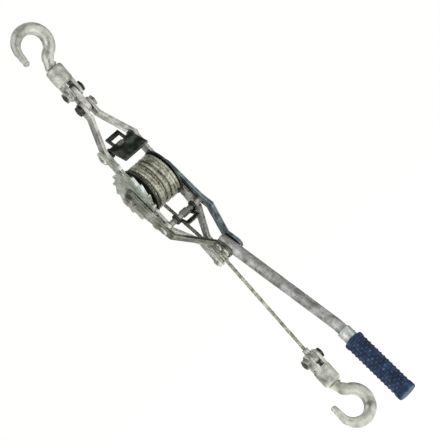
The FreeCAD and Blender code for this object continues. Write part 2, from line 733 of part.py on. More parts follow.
def hook_nut():
    """The collar that holds the hook's shank in its block."""
    z1 = -BLOCK_LENGTH + BLOCK_BASE + POCKET_DEPTH - GAP
    nut = cyl_z(HOOK_NUT_R, z1 - HOOK_NUT_L, z1)
    return nut.cut(cyl_z(SHANK_R, z1 - HOOK_NUT_L - 1, z1 + 1))


def placed(shape, z, y=0.0, upside_down=False):
    """A copy of a shape drawn about the origin, moved to (y, z), and turned over about X."""
    shape = shape.copy()
    if upside_down:
        shape.rotate(Vector(0, 0, 0), Vector(1, 0, 0), 180)
    shape.translate(Vector(0, y, z))
    return shape


def cable_terminal():
    """The swaged eye on the cable's end."""
    eye = cyl_x(TERMINAL_EYE_R, -EAR_IN + GAP, EAR_IN - GAP, CABLE_Y, LOAD_BOLT_Z)
    eye = eye.cut(cyl_x(BOLT_R + RUNNING, -BLOCK_R, BLOCK_R, CABLE_Y, LOAD_BOLT_Z))
    neck = cyl_z(TERMINAL_NECK_R, LOAD_BOLT_Z + BOLT_R + 1, TERMINAL_TOP_Z, 0, CABLE_Y)
    neck = rounded(neck, 1.0, lambda e: e.BoundBox.ZMin > TERMINAL_TOP_Z - 1)
    return eye.fuse(neck).removeSplitter()


# ---------------- cable ----------------
def lead_points():
    """The cable from the back of the winding across to the front of the guide roller."""
    r1 = LEAVING_R
    r2 = ROLLER_GROOVE_R + CABLE_D / 2
    dy, dz = NOSE_Y, ROLLER_Z
    distance = math.hypot(dy, dz)
    ay, az = dy / distance, dz / distance
    across_y, across_z = -az, ay
    if across_y < 0:
        across_y, across_z = -across_y, -across_z
    along = (r1 + r2) / distance
    side = math.sqrt(1 - along ** 2)
    ny = along * ay + side * across_y
    nz = along * az + side * across_z
    leave = Vector(0, r1 * ny, r1 * nz)
    meet = Vector(0, NOSE_Y - r2 * ny, ROLLER_Z - r2 * nz)
    bend = math.atan2(-nz, ny)
    middle = Vector(0, NOSE_Y - r2 * math.cos(bend / 2), ROLLER_Z + r2 * math.sin(bend / 2))
    last = Vector(0, CABLE_Y, ROLLER_Z)
    return leave, meet, middle, last


def cable_lead():
    leave, meet, middle, last = lead_points()
    path = Part.Wire([Part.LineSegment(leave, meet).toShape(), Part.Arc(meet, middle, last).toShape()])
    section = Part.Wire([Part.Circle(leave, (meet - leave).normalize(), CABLE_D / 2).toShape()])
    sweep = Part.BRepOffsetAPI.MakePipeShell(path)
    sweep.add(section)
    sweep.build()
    sweep.makeSolid()
    return sweep.shape()


def cable_free():
    return cyl_z(CABLE_D / 2, TERMINAL_TOP_Z, ROLLER_Z, 0, CABLE_Y)


# ---------------- assembly ----------------
def make_nodes():
    bar = frame_bar()
    flange = drum_flange()
    drive = PawlShape(DRIVE_PIVOT, DRIVE_TIP_DEG, DRIVE_PLAY_DEG, DRIVE_LIFT_DEG)
    hold = PawlShape(HOLD_PIVOT, HOLD_TIP_DEG, HOLD_PLAY_DEG, HOLD_LIFT_DEG)
    left_arm_in = LEFT_ARM_MID - ARM_T / 2
    left_arm_out = LEFT_ARM_MID + ARM_T / 2
    right_arm_out = RIGHT_ARM_MID + ARM_T / 2
    apex_out = APEX_MID + BAR_T / 2
    apex_end = apex_out + NUT_L + THREAD_END
    nose_out = NOSE_MID + BAR_T / 2
    bolt_end = EAR_OUT + NUT_L + THREAD_END
    return {
        "frame_bar_right": bar,
        "frame_bar_left": mirrored(bar),
        "apex_bolt": bolt_x(BOLT_R, BOLT_FLATS, BOLT_HEAD, -apex_out, apex_end, 0, APEX_Z),
        "apex_nut": nut_x(BOLT_FLATS, BOLT_R, apex_out, apex_out + NUT_L, 0, APEX_Z),
        "nose_rivet": nose_rivet(nose_out),
        "guide_roller": guide_roller(),
        "holding_pawl": pawl(hold),
        "holding_pawl_shaft": pawl_shaft(hold, -WHEEL_OUT, BAR_OUT + SIDE_PLAY),
        "holding_release_plate": release_plate(hold, HOLD_PLATE_HALF, HOLD_PLATE_REACH),
        "holding_pawl_spacer": pawl_collar(hold, -WHEEL_IN, -BAR_OUT - SIDE_PLAY),
        "holding_pawl_spring": torsion_spring(*HOLD_PIVOT, 1, 0.3),
        "drum_hub": drum_hub(),
        "drum_barrel": drum_barrel(),
        "drum_flange_right": flange,
        "drum_flange_left": mirrored(flange),
        "drum_rivets": drum_rivets(),
        "ratchet_wheel": ratchet_wheel(),
        "hub_washer": hub_washer(),
        "cable_winding": cable_winding(),
        "cable_lead": cable_lead(),
        "cable_free": cable_free(),
        "drive_pawl": pawl(drive),
        "drive_pawl_shaft": pawl_shaft(drive, -left_arm_out - SIDE_PLAY, right_arm_out + SIDE_PLAY),
        "drive_release_plate": release_plate(drive, DRIVE_PLATE_HALF, DRIVE_PLATE_REACH),
        "drive_pawl_washer": pawl_collar(drive, -left_arm_in + SIDE_PLAY, -WHEEL_OUT),
        "drive_pawl_spring": torsion_spring(*DRIVE_PIVOT, -1, -0.4),
        "yoke_arm_left": yoke_arm(-LEFT_ARM_MID, -1),
        "yoke_arm_right": yoke_arm(RIGHT_ARM_MID, 1),
        "yoke_rivets": yoke_rivets(),
        "axle_bolt": axle_bolt(),
        "axle_nut": axle_nut(),
        "axle_washers": axle_washers(),
        "handle_tube": handle_tube(),
        "handle_collar": handle_collar(),
        "handle_grip": handle_grip(),
        "anchor_link": link_bar(),
        "anchor_block": placed(swivel_block(), ANCHOR_BOLT_Z),
        "anchor_block_bolt": block_bolt(bolt_end, 0, ANCHOR_BOLT_Z),
        "anchor_block_nut": block_nut(0, ANCHOR_BOLT_Z),
        "anchor_hook": placed(hook(), ANCHOR_FACE_Z),
        "anchor_hook_nut": placed(hook_nut(), ANCHOR_FACE_Z),
        "cable_terminal": cable_terminal(),
        "load_block": placed(swivel_block(), LOAD_BOLT_Z, CABLE_Y, True),
        "load_block_bolt": block_bolt(bolt_end, CABLE_Y, LOAD_BOLT_Z),
        "load_block_nut": block_nut(CABLE_Y, LOAD_BOLT_Z),
        "load_hook": placed(hook(), LOAD_FACE_Z, CABLE_Y, True),
        "load_hook_nut": placed(hook_nut(), LOAD_FACE_Z, CABLE_Y, True),
    }


def main():
    os.makedirs("parts", exist_ok=True)
    for name, shape in make_nodes().items():
        shape = shape.copy()
        shape.translate(Vector(0, 0, -ORIGIN_Z))
        shape.exportStep(f"parts/{name}.step")
        valid = shape.isValid()
        print(f"{name:24s} solids {len(shape.Solids):2d} volume {shape.Volume:9.0f} valid {valid}")


main()
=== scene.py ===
import json
import math

import bpy
import numpy as np
from mathutils import Matrix, Vector


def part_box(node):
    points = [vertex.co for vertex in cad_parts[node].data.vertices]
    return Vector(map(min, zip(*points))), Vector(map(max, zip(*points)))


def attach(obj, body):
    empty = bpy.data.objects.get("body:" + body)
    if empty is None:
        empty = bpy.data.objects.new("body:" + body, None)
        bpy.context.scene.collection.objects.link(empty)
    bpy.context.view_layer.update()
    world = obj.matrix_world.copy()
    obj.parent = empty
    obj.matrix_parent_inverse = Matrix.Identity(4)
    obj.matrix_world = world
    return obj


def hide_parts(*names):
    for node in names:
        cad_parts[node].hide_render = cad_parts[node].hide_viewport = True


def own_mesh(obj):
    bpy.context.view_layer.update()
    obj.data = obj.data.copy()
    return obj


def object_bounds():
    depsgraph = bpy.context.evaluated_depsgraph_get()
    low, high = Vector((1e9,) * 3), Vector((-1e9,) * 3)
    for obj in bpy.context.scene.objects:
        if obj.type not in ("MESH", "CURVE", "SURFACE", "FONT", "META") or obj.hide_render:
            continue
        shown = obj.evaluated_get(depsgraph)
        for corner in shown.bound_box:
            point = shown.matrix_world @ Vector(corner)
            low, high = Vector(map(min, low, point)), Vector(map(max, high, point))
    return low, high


# The looks of a hand-cranked cable winch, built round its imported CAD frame. Metres, row frame.

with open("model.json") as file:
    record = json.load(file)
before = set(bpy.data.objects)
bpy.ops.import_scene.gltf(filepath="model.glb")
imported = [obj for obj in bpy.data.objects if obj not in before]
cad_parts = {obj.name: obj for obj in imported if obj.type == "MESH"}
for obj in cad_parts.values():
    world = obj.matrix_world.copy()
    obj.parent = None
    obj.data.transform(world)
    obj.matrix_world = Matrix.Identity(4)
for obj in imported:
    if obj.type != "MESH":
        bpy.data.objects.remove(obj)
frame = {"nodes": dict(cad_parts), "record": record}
nodes = frame["nodes"]
CAD_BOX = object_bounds()

ROPE_D = 0.0048
ROPE_STRANDS = 6
ROPE_LAY = 0.030               # length in which a strand goes once round the rope
ROPE_AROUND = 36               # points round a section of the rope off the drum
ROPE_STEP = ROPE_D / 6         # from one such section to the next
TOP_LAYER_R = 0.0299           # centre line of the outer layer of turns on the drum
UNDER_LAYER_R = 0.0254
NEXT_TURN = ROPE_D * 1.13      # from the leaving turn to the turns beside it
TURN_POINTS = 120              # points on the centre line of one turn
TURN_AROUND = 24               # points round a section of the rope on the drum
TURN_STEP = ROPE_D / 4         # from one such section to the next
EDGE_CLEAR = 0.0002            # between the outermost turn and the winding's end
WANDER = 0.0003                # how far a turn of the top layer strays along the drum
WANDER_RATE = 1.31             # waves of straying in one turn
WANDER_START = 26.91
SPRING_WIRE_R = 0.0007
SPRING_TURNS = 7
SPRING_STEPS = 24              # points along one turn of a spring
NEAR_ARM_UNSHADED_Z = -0.262      # the left arm has no painted shade above this height
NEAR_ARM_SHADED_Z = -0.318     # and is fully darkened by painted shade below this one
FINE_GRAIN = 900.0             # scale of the finest noise


def centre(node):
    low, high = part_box(node)
    return (low + high) / 2


def ride_as(obj, body, slot, *stands_for):
    """Rides obj on a body and hides the CAD nodes that it stands for."""
    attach(obj, body)
    if stands_for:
        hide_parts(*stands_for)
    return obj


# ---------------- camera ----------------
CAMERA_AZIMUTH = math.radians(-22.0)
CAMERA_ROLL = math.radians(41.3)
CAMERA_AWAY = 12.0
CAMERA_BELOW_DRUM = 0.0931
CAMERA_ASIDE = 0.0326          # how far to the right of the drum axle's middle it looks
VIEW_WIDTH = 0.559             # width of what the picture shows at the winch


def make_camera():
    """Looks level at the winch from the left front, rolled so that the winch lies diagonally."""
    drum = centre("drum_hub")
    side = Vector((math.cos(CAMERA_AZIMUTH), math.sin(CAMERA_AZIMUTH), 0))
    back = Vector((math.sin(CAMERA_AZIMUTH), -math.cos(CAMERA_AZIMUTH), 0))
    target = Vector((0, 0, drum.z - CAMERA_BELOW_DRUM)) + side * CAMERA_ASIDE
    right = side * math.cos(CAMERA_ROLL) - Vector((0, 0, math.sin(CAMERA_ROLL)))
    up = side * math.sin(CAMERA_ROLL) + Vector((0, 0, math.cos(CAMERA_ROLL)))
    data = bpy.data.cameras.new("camera")
    data.sensor_width = 36.0
    data.lens = data.sensor_width * CAMERA_AWAY / VIEW_WIDTH
    data.clip_end = 100.0
    camera = bpy.data.objects.new("camera", data)
    camera.matrix_world = Matrix((right, up, back)).transposed().to_4x4()
    camera.location = target + back * CAMERA_AWAY
    bpy.context.scene.collection.objects.link(camera)
    bpy.context.scene.camera = camera


# ---------------- mesh helpers ----------------
def mesh_object(name, vertices, faces, material, smooth=True):
    mesh = bpy.data.meshes.new(name)
    mesh.from_pydata([tuple(v) for v in vertices], [], faces)
    mesh.validate()
    for polygon in mesh.polygons:
        polygon.use_smooth = smooth
    mesh.materials.append(material)
    obj = bpy.data.objects.new(name, mesh)
    bpy.context.scene.collection.objects.link(obj)
    return obj


def ring_faces(rings, around, first=0):
    """Quads that join each ring of points to the next, and a cap at each end."""
    faces = []
    for k in range(rings - 1):
        for j in range(around):
            a = first + k * around + j
            b = first + k * around + (j + 1) % around
            faces.append((a, b, b + around, a + around))
    faces.append(tuple(first + j for j in reversed(range(around))))
    faces.append(tuple(first + (rings - 1) * around + j for j in range(around)))
    return faces


def evenly(points, step):
    """Points at even steps along a line of points."""
    line = np.array([tuple(p) for p in points])
    gone = np.concatenate([[0], np.cumsum(np.linalg.norm(np.diff(line, axis=0), axis=1))])
    count = max(int(gone[-1] / step), 2) + 1
    at = np.linspace(0, gone[-1], count)
    return np.stack([np.interp(at, gone, line[:, k]) for k in range(3)], axis=1), at


def strand_outline(angle):
    """How far out a rope's surface is at an angle round it, as a share of its radius."""
    sector = 2 * math.pi / ROPE_STRANDS
    off = np.mod(angle + sector / 2, sector) - sector / 2
    strand = 1 / 3.0
    middle = 2 / 3.0
    return middle * np.cos(off) + np.sqrt(np.maximum(strand ** 2 - (middle * np.sin(off)) ** 2, 0))


def rope_rings(points, step, phase=0.0, around=ROPE_AROUND):
    """Vertices of a rope of twisted strands along a line in or near a plane of constant X."""
    line, at = evenly(points, step)
    along = np.gradient(line, axis=0)
    along /= np.linalg.norm(along, axis=1)[:, None]
    across = np.array([1.0, 0, 0]) - along * along[:, :1]
    across /= np.linalg.norm(across, axis=1)[:, None]
    over = np.cross(along, across)
    angles = np.linspace(0, 2 * math.pi, around, endpoint=False)
    twist = phase + 2 * math.pi * at / ROPE_LAY
    out = strand_outline(angles[None, :] - twist[:, None]) * ROPE_D / 2
    rings = (
        line[:, None, :]
        + (out * np.cos(angles))[:, :, None] * across[:, None, :]
        + (out * np.sin(angles))[:, :, None] * over[:, None, :]
    )
    return rings.reshape(-1, 3), len(line), twist[-1]


def route_points(name, route):
    """Points along one smooth spline that has the route's points as its control points."""
    curve = bpy.data.curves.new(name, "CURVE")
    curve.dimensions = "3D"
    curve.resolution_u = 24
    spline = curve.splines.new("NURBS")
    spline.points.add(len(route) - 1)
    for point, place in zip(spline.points, route):
        point.co = (*place, 1.0)
    spline.order_u = 3
    spline.use_endpoint_u = True
    holder = bpy.data.objects.new(name, curve)
    mesh = bpy.data.meshes.new_from_object(holder)
    points = [v.co.copy() for v in mesh.vertices]
    bpy.data.meshes.remove(mesh)
    bpy.data.curves.remove(curve)
    return points


# ---------------- materials ----------------
def rgb(red, green, blue):
    """A colour given in 0 to 255 display values, as linear values."""
    shares = [c / 255 for c in (red, green, blue)]
    linear = [c / 12.92 if c <= 0.04045 else ((c + 0.055) / 1.055) ** 2.4 for c in shares]
    return (*linear, 1.0)


class Nodes:
    """A short way to build a material's nodes."""

    def __init__(self, name):
        self.material = bpy.data.materials.new(name)
        self.material.use_nodes = True
        self.tree = self.material.node_tree
        self.shader = self.tree.nodes["Principled BSDF"]
        self.place = self.add("ShaderNodeTexCoord").outputs["Object"]

    def add(self, kind, **settings):
        node = self.tree.nodes.new(kind)
        for key, value in settings.items():
            setattr(node, key, value)
        return node

    def link(self, out, socket):
        self.tree.links.new(out, socket)

    def noise(self, scale, detail=4.0, stretch=(1, 1, 1), distortion=0.0):
        mapping = self.add("ShaderNodeMapping")
        mapping.inputs["Scale"].default_value = stretch
        self.link(self.place, mapping.inputs["Vector"])
        noise = self.add("ShaderNodeTexNoise")
        noise.inputs["Scale"].default_value = scale
        noise.inputs["Detail"].default_value = detail
        noise.inputs["Distortion"].default_value = distortion
        self.link(mapping.outputs["Vector"], noise.inputs["Vector"])
        return noise.outputs["Fac"]

    def spots(self, scale):
        cells = self.add("ShaderNodeTexVoronoi")
        cells.inputs["Scale"].default_value = scale
        self.link(self.place, cells.inputs["Vector"])
        return cells.outputs["Distance"]

    def ramp(self, fac, stops):
        """stops: (position, colour) pairs, from low to high."""
        ramp = self.add("ShaderNodeValToRGB")
        elements = ramp.color_ramp.elements
        while len(elements) < len(stops):
            elements.new(0.5)
        for element, (position, colour) in zip(elements, stops):
            element.position = position
            element.color = colour
        self.link(fac, ramp.inputs["Fac"])
        return ramp.outputs["Color"]

    def fall(self, top, bottom):
        """0 at and above the height top, 1 at and below the height bottom."""
        split = self.add("ShaderNodeSeparateXYZ")
        self.link(self.place, split.inputs["Vector"])
        span = self.add("ShaderNodeMapRange")
        span.inputs["From Min"].default_value = top
        span.inputs["From Max"].default_value = bottom
        self.link(split.outputs["Z"], span.inputs["Value"])
        return span.outputs["Result"]

    def grey(self, fac, low, high, start=0.3, end=0.7):
        return self.ramp(fac, [(start, (low, low, low, 1)), (end, (high, high, high, 1))])

    def mix(self, fac, a, b, blend="MIX"):
        mix = self.add("ShaderNodeMix", data_type="RGBA", blend_type=blend)
        if isinstance(fac, float):
            mix.inputs["Factor"].default_value = fac
        else:
            self.link(fac, mix.inputs["Factor"])
        self.link(a, mix.inputs["A"])
        self.link(b, mix.inputs["B"])
        return mix.outputs["Result"]

    def edges(self):
        """1 along worn outer edges, 0 on flat surfaces."""
        inner = self.add("ShaderNodeAmbientOcclusion", inside=True, samples=6)
        inner.inputs["Distance"].default_value = 0.0012
        return self.grey(inner.outputs["AO"], 1.0, 0.0, 0.55, 0.9)

    def corners(self, reach):
        """1 in the open, 0 deep in corners: the mask for painted shade in corners, which also stands for
        grime there.
        """
        open_air = self.add("ShaderNodeAmbientOcclusion", samples=6)
        open_air.inputs["Distance"].default_value = reach
        return self.grey(open_air.outputs["AO"], 0.0, 1.0, 0.25, 0.85)

    def crowns(self, low, high):
        """1 on the crowns of a finely meshed surface, 0 in the grooves between them."""
        point = self.add("ShaderNodeNewGeometry").outputs["Pointiness"]
        return self.grey(point, 0.0, 1.0, low, high)

    def bump(self, height, strength, distance=0.0004, under=None):
        bump = self.add("ShaderNodeBump")
        bump.inputs["Strength"].default_value = strength
        bump.inputs["Distance"].default_value = distance
        self.link(height, bump.inputs["Height"])
        if under is not None:
            self.link(under, bump.inputs["Normal"])
        return bump.outputs["Normal"]

    def finish(self, colour, roughness, normal, metallic):
        self.link(colour, self.shader.inputs["Base Color"])
        self.link(roughness, self.shader.inputs["Roughness"])
        self.link(normal, self.shader.inputs["Normal"])
        self.shader.inputs["Metallic"].default_value = metallic
        return self.material


def plated_steel(name, light, mid, dark, rough=(0.3, 0.55), patch=70.0, edge_gain=0.25):
    """Zinc-plated or bare steel: cloudy patches, fine grain, grime specks, painted shade with grime in
    corners, and brighter worn edges.
    """
    light, mid, dark = rgb(*light), rgb(*mid), rgb(*dark)
    n = Nodes(name)
    clouds = n.noise(patch, detail=6.0, distortion=0.6)
    colour = n.ramp(clouds, [(0.32, dark), (0.5, mid), (0.68, light)])
    grime_and_shade_noise = n.noise(patch * 3.1, detail=8.0)
    speck = n.grey(grime_and_shade_noise, 0.55, 1.08, 0.34, 0.5)
    colour = n.mix(0.75, colour, speck, "MULTIPLY")
    # painted shade: a dark tone laid only into corners by the occlusion mask, standing also for grime
    shade_and_grime_tone = n.ramp(grime_and_shade_noise, [(0.3, rgb(20, 24, 16)), (0.7, rgb(96, 98, 84))])
    shaded_and_grimy = n.mix(0.7, colour, shade_and_grime_tone, "MULTIPLY")
    colour = n.mix(n.corners(0.006), shaded_and_grimy, colour)
    worn = n.mix(edge_gain, colour, n.edges(), "ADD")
    rough_map = n.grey(n.noise(patch * 1.7, detail=5.0), rough[0], rough[1])
    fine = n.bump(n.noise(FINE_GRAIN, detail=3.0), 0.35, 0.0002)
    normal = n.bump(n.noise(patch * 2.3, detail=4.0), 0.28, 0.0008, fine)
    return n.finish(worn, rough_map, normal, 0.75)


def near_arm_steel():
    """The left yoke arm: plated steel by the axle, darkened with painted shade towards the tube."""
    n = Nodes("near_arm_steel")
    clouds = n.noise(70.0, detail=6.0, distortion=0.6)
    lit_arm = n.ramp(clouds, [(0.3, rgb(104, 106, 96)), (0.5, rgb(152, 152, 142)), (0.7, rgb(188, 187, 176))])
    shaded_arm = n.ramp(clouds, [(0.3, rgb(30, 34, 22)), (0.5, rgb(62, 68, 50)), (0.7, rgb(112, 116, 96))])
    # painted shade: the arm's colour darkens with height towards the tube
    colour = n.mix(n.fall(NEAR_ARM_UNSHADED_Z, NEAR_ARM_SHADED_Z), lit_arm, shaded_arm)
    speck = n.grey(n.noise(217.0, detail=8.0), 0.45, 1.08, 0.34, 0.5)
    colour = n.mix(0.8, colour, speck, "MULTIPLY")
    colour = n.mix(0.2, colour, n.edges(), "ADD")
    rough_map = n.grey(n.noise(120.0, detail=5.0), 0.34, 0.58)
    fine = n.bump(n.noise(FINE_GRAIN, detail=3.0), 0.35, 0.0002)
    return n.finish(colour, rough_map, n.bump(n.noise(160.0, detail=4.0), 0.3, 0.0008, fine), 0.7)


def forged_zinc():
    """Forged hooks and blocks, dull zinc with a warm tint and a slightly pitted skin."""
    n = Nodes("forged_zinc")
    clouds = n.noise(55.0, detail=6.0, distortion=0.8)
    colour = n.ramp(
        clouds,
        [(0.3, rgb(112, 114, 105)), (0.48, rgb(174, 175, 167)), (0.66, rgb(206, 207, 199))],
    )
    pits = n.grey(n.spots(420.0), 0.72, 1.0, 0.08, 0.3)
    colour = n.mix(0.6, colour, pits, "MULTIPLY")
    # painted shade: a dark tone laid only into corners by the occlusion mask, standing also for grime
    shade_and_grime_tone = n.ramp(clouds, [(0.3, rgb(50, 50, 38)), (0.7, rgb(104, 102, 86))])
    shaded_and_grimy = n.mix(0.8, colour, shade_and_grime_tone, "MULTIPLY")
    colour = n.mix(n.corners(0.005), shaded_and_grimy, colour)
    colour = n.mix(0.12, colour, n.edges(), "ADD")
    rough_map = n.grey(n.noise(120.0, detail=5.0), 0.34, 0.58)
    fine = n.bump(n.spots(520.0), 0.25, 0.0003)
    normal = n.bump(n.noise(140.0, detail=5.0), 0.5, 0.0012, fine)
    return n.finish(colour, rough_map, normal, 0.62)


def grip_vinyl():
    """Dark blue moulded vinyl, rubbed lighter on its ribs, with a fine leathery skin."""
    n = Nodes("grip_vinyl")
    clouds = n.noise(110.0, detail=7.0, distortion=0.5)
    deep = n.ramp(clouds, [(0.35, rgb(2, 8, 22)), (0.52, rgb(8, 20, 46)), (0.68, rgb(16, 38, 74))])
    rubbed = n.ramp(clouds, [(0.35, rgb(24, 52, 94)), (0.52, rgb(46, 84, 128)), (0.7, rgb(98, 138, 164))])
    colour = n.mix(n.crowns(0.49, 0.56), deep, rubbed)
    n.shader.inputs["Specular IOR Level"].default_value = 0.3
    rough_map = n.grey(n.noise(300.0), 0.5, 0.75)
    normal = n.bump(n.spots(900.0), 0.5, 0.0003)
    return n.finish(colour, rough_map, normal, 0.0)


def rope_steel():
    """Galvanised wire, greyed and oily, with painted shade in the grooves between strands and the fine lay
    of single wires as bump.
    """
    n = Nodes("rope_steel")
    clouds = n.noise(150.0, detail=6.0, distortion=0.8)
    colour = n.ramp(clouds, [(0.3, rgb(112, 112, 98)), (0.5, rgb(168, 168, 152)), (0.7, rgb(206, 205, 192))])
    # painted shade: the grooves between the strands are darkened
    grooves = n.ramp(n.crowns(0.42, 0.52), [(0.0, rgb(52, 52, 44)), (0.8, rgb(255, 255, 255))])
    colour = n.mix(0.85, colour, grooves, "MULTIPLY")
    rough_map = n.grey(n.noise(400.0), 0.35, 0.6)
    normal = n.bump(n.noise(1600.0, detail=2.0, stretch=(1, 1, 0.35)), 0.5, 0.0002)
    return n.finish(colour, rough_map, normal, 0.6)


# Each steel's light, middle and dark colours, and what else differs from the usual steel.
STEELS = {
    "plated_bar": ((204, 204, 199), (172, 171, 166), (124, 124, 117), {}),
    # far_arm_steel is a darker, bluer copy of the arm steel: painted shade and painted blue-grey reflection
    # on the far arm
    "far_arm_steel": ((150, 166, 170), (108, 124, 128), (58, 70, 72), {}),
    "wheel_steel": ((200, 210, 210), (178, 186, 172), (124, 132, 116), {"patch": 45.0}),
    # drum_steel, dark_plate and dark_bolt are near-black, mostly painted shade for the deep shade round the
    # holding pawl and on the far side
    "drum_steel": ((84, 90, 74), (46, 52, 40), (20, 24, 16), {}),
    "dark_plate": ((88, 98, 88), (34, 42, 34), (10, 14, 10), {"rough": (0.2, 0.5), "edge_gain": 0.12}),
    "dark_bolt": ((90, 88, 78), (44, 44, 38), (20, 20, 17), {"rough": (0.25, 0.5), "edge_gain": 0.12}),
    "plated_fastener": ((190, 190, 182), (142, 142, 134), (86, 88, 80), {}),
    "spring_wire": ((120, 120, 114), (80, 80, 74), (44, 44, 40), {}),
    "roller_steel": ((170, 168, 160), (126, 124, 116), (78, 76, 70), {}),
    "ferrule": ((200, 200, 192), (160, 160, 150), (104, 104, 96), {}),
    "tube_steel": ((186, 186, 185), (158, 158, 156), (118, 118, 115), {"rough": (0.5, 0.7)}),
    "collar_zinc": ((228, 232, 230), (196, 200, 198), (140, 144, 142), {}),
}


def make_materials():
    """One material for each slot in the record."""
    made = {
        name: plated_steel(name, light, mid, dark, **other)
        for name, (light, mid, dark, other) in STEELS.items()
    }
    made["forged_zinc"] = forged_zinc()
    made["near_arm_steel"] = near_arm_steel()
    made["wire_rope"] = rope_steel()
    made["blue_grip"] = grip_vinyl()
    return made


def paint_frame(materials):
    """Gives every CAD node the material of its slot in the record."""
    for row in frame["record"]["subparts"]:
        mesh = nodes[row["node"]].data
        mesh.materials.clear()
        mesh.materials.append(materials[row["material_slot"]])


# ---------------- the cable ----------------
def cable_routes():
    """The cable from the back of the winding to the roller, and from there to its terminal."""
    lead = [
        (0, 0.0284, -0.2407),
        (0, 0.0183, -0.2703),
        (0, 0.0081, -0.3000),
        (0, -0.0020, -0.3296),
        (0, -0.0119, -0.3585),
        (0, -0.0126, -0.3620),
    ]
    free = [
        (0, -0.0126, -0.3620),
        (0, -0.0126, -0.4010),
        (0, -0.0126, -0.4400),
        (0, -0.0126, -0.4790),
        (0, -0.0126, -0.5180),
    ]
    return lead, free


def make_cable(material):
    lead_route, free_route = cable_routes()
    lead_line = route_points("lead_route", lead_route)
    vertices, rings, phase = rope_rings(lead_line, ROPE_STEP)
    lead = mesh_object("cable_lead_rope", vertices, ring_faces(rings, ROPE_AROUND), material)
    ride_as(lead, "frame", "wire_rope", "cable_lead")
    free_line = route_points("free_route", free_route)
    vertices, rings, _ = rope_rings(free_line, ROPE_STEP, phase)
    free = mesh_object("cable_free_rope", vertices, ring_faces(rings, ROPE_AROUND), material)
    ride_as(free, "frame", "wire_rope", "cable_free")
    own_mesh(free)


def turns(radius, x_from, x_to, count, start, wander=0.0):
    """A helix of turns about the drum's axle. wander is how far a turn strays along X and back."""
    axle = centre("drum_hub")
    steps = int(count * TURN_POINTS)
    points = []
    for k in range(steps + 1):
        share = k / steps
        angle = start + share * count * 2 * math.pi
        stray = wander * math.sin(angle * WANDER_RATE + WANDER_START)
        x = x_from + (x_to - x_from) * share + stray
        points.append((x, radius * math.sin(angle), axle.z - radius * math.cos(angle)))
    return points


def make_winding(material):
    """The wound cable: an under layer, and a top layer with the leaving turn in the middle."""
    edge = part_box("cable_winding")[1].x - ROPE_D / 2 - EDGE_CLEAR
    drift = 0.0001
    layers = [
        turns(UNDER_LAYER_R, edge, -edge, count=8, start=0.4),
        turns(TOP_LAYER_R, -edge, -NEXT_TURN, count=2.6, start=0.3, wander=WANDER),
        turns(TOP_LAYER_R, NEXT_TURN, edge, count=2.6, start=2.0, wander=WANDER),
        turns(TOP_LAYER_R, -drift, drift, count=0.99, start=1.2),
    ]
    vertices = []
    faces = []
    for points in layers:
        new, rings, _ = rope_rings(points, TURN_STEP, around=TURN_AROUND)
        faces += ring_faces(rings, TURN_AROUND, len(vertices))
        vertices += list(new)
    winding = mesh_object("cable_winding_turns", vertices, faces, material)
    ride_as(winding, "drum", "wire_rope", "cable_winding")


# ---------------- springs ----------------
def make_spring(name, pawl, material):
    """A close coil round a pawl's shaft, in place of the spring node, riding with the pawl."""
    node = pawl + "_spring"
    low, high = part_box(node)
    axis = centre(pawl + "_shaft")
    coil_r = min(high.y - axis.y, axis.y - low.y) - SPRING_WIRE_R
    half = (high.x - low.x) / 2 - SPRING_WIRE_R
    steps = SPRING_TURNS * SPRING_STEPS
    points = []
    for k in range(steps + 1):
        share = k / steps
        angle = share * SPRING_TURNS * 2 * math.pi
        x = low.x + SPRING_WIRE_R + 2 * half * share
        points.append((x, axis.y + coil_r * math.cos(angle), axis.z + coil_r * math.sin(angle)))
    curve = bpy.data.curves.new(name, "CURVE")
    curve.dimensions = "3D"
    curve.bevel_depth = SPRING_WIRE_R
    curve.bevel_resolution = 3
    spline = curve.splines.new("POLY")
    spline.points.add(len(points) - 1)
    for point, place in zip(spline.points, points):
        point.co = (*place, 1.0)
    curve.materials.append(material)
    spring = bpy.data.objects.new(name, curve)
    bpy.context.scene.collection.objects.link(spring)
    ride_as(spring, pawl, "spring_wire", node)


# ---------------- grip ----------------
def axis_of(node):
    """The middle of a long node, its direction pointing up, and its length."""
    points = np.array([v.co for v in nodes[node].data.vertices])
    middle = points.mean(axis=0)
    direction = np.linalg.svd(points - middle, full_matrices=False)[2][0]
    if direction[2] < 0:
        direction = -direction
    along = (points - middle) @ direction
    middle = middle + direction * (along.min() + along.max()) / 2
    return Vector(middle), Vector(direction), float(along.max() - along.min())


GRIP_R = 0.0137
GRIP_FOOT = 0.010
GRIP_LIP = 0.007
GRIP_STEP = 0.0010             # how far the lip and foot stand out from the sleeve
GRIP_CORNER = 0.0022           # rounding at both ends
RIB_PITCH = 0.0064
RIB_HEIGHT = 0.0009
RIBS_AROUND = 8
GRIP_AROUND = 96
GRIP_RINGS = 260


def grip_radius(s, angle, length):
    """The sleeve's radius at s along it from its foot, and at an angle round it."""
    from_end = min(s, length - s)
    plain = s < GRIP_FOOT or s > length - GRIP_LIP
    radius = GRIP_R if plain else GRIP_R - GRIP_STEP
    if from_end < GRIP_CORNER:
        radius -= GRIP_CORNER - math.sqrt(GRIP_CORNER ** 2 - (GRIP_CORNER - from_end) ** 2)
    if plain:
        return radius
    one = math.cos(2 * math.pi * s / RIB_PITCH + RIBS_AROUND * angle)
    two = math.cos(2 * math.pi * s / RIB_PITCH - RIBS_AROUND * angle)
    return radius + RIB_HEIGHT * math.sqrt(max(one, 0) * max(two, 0))


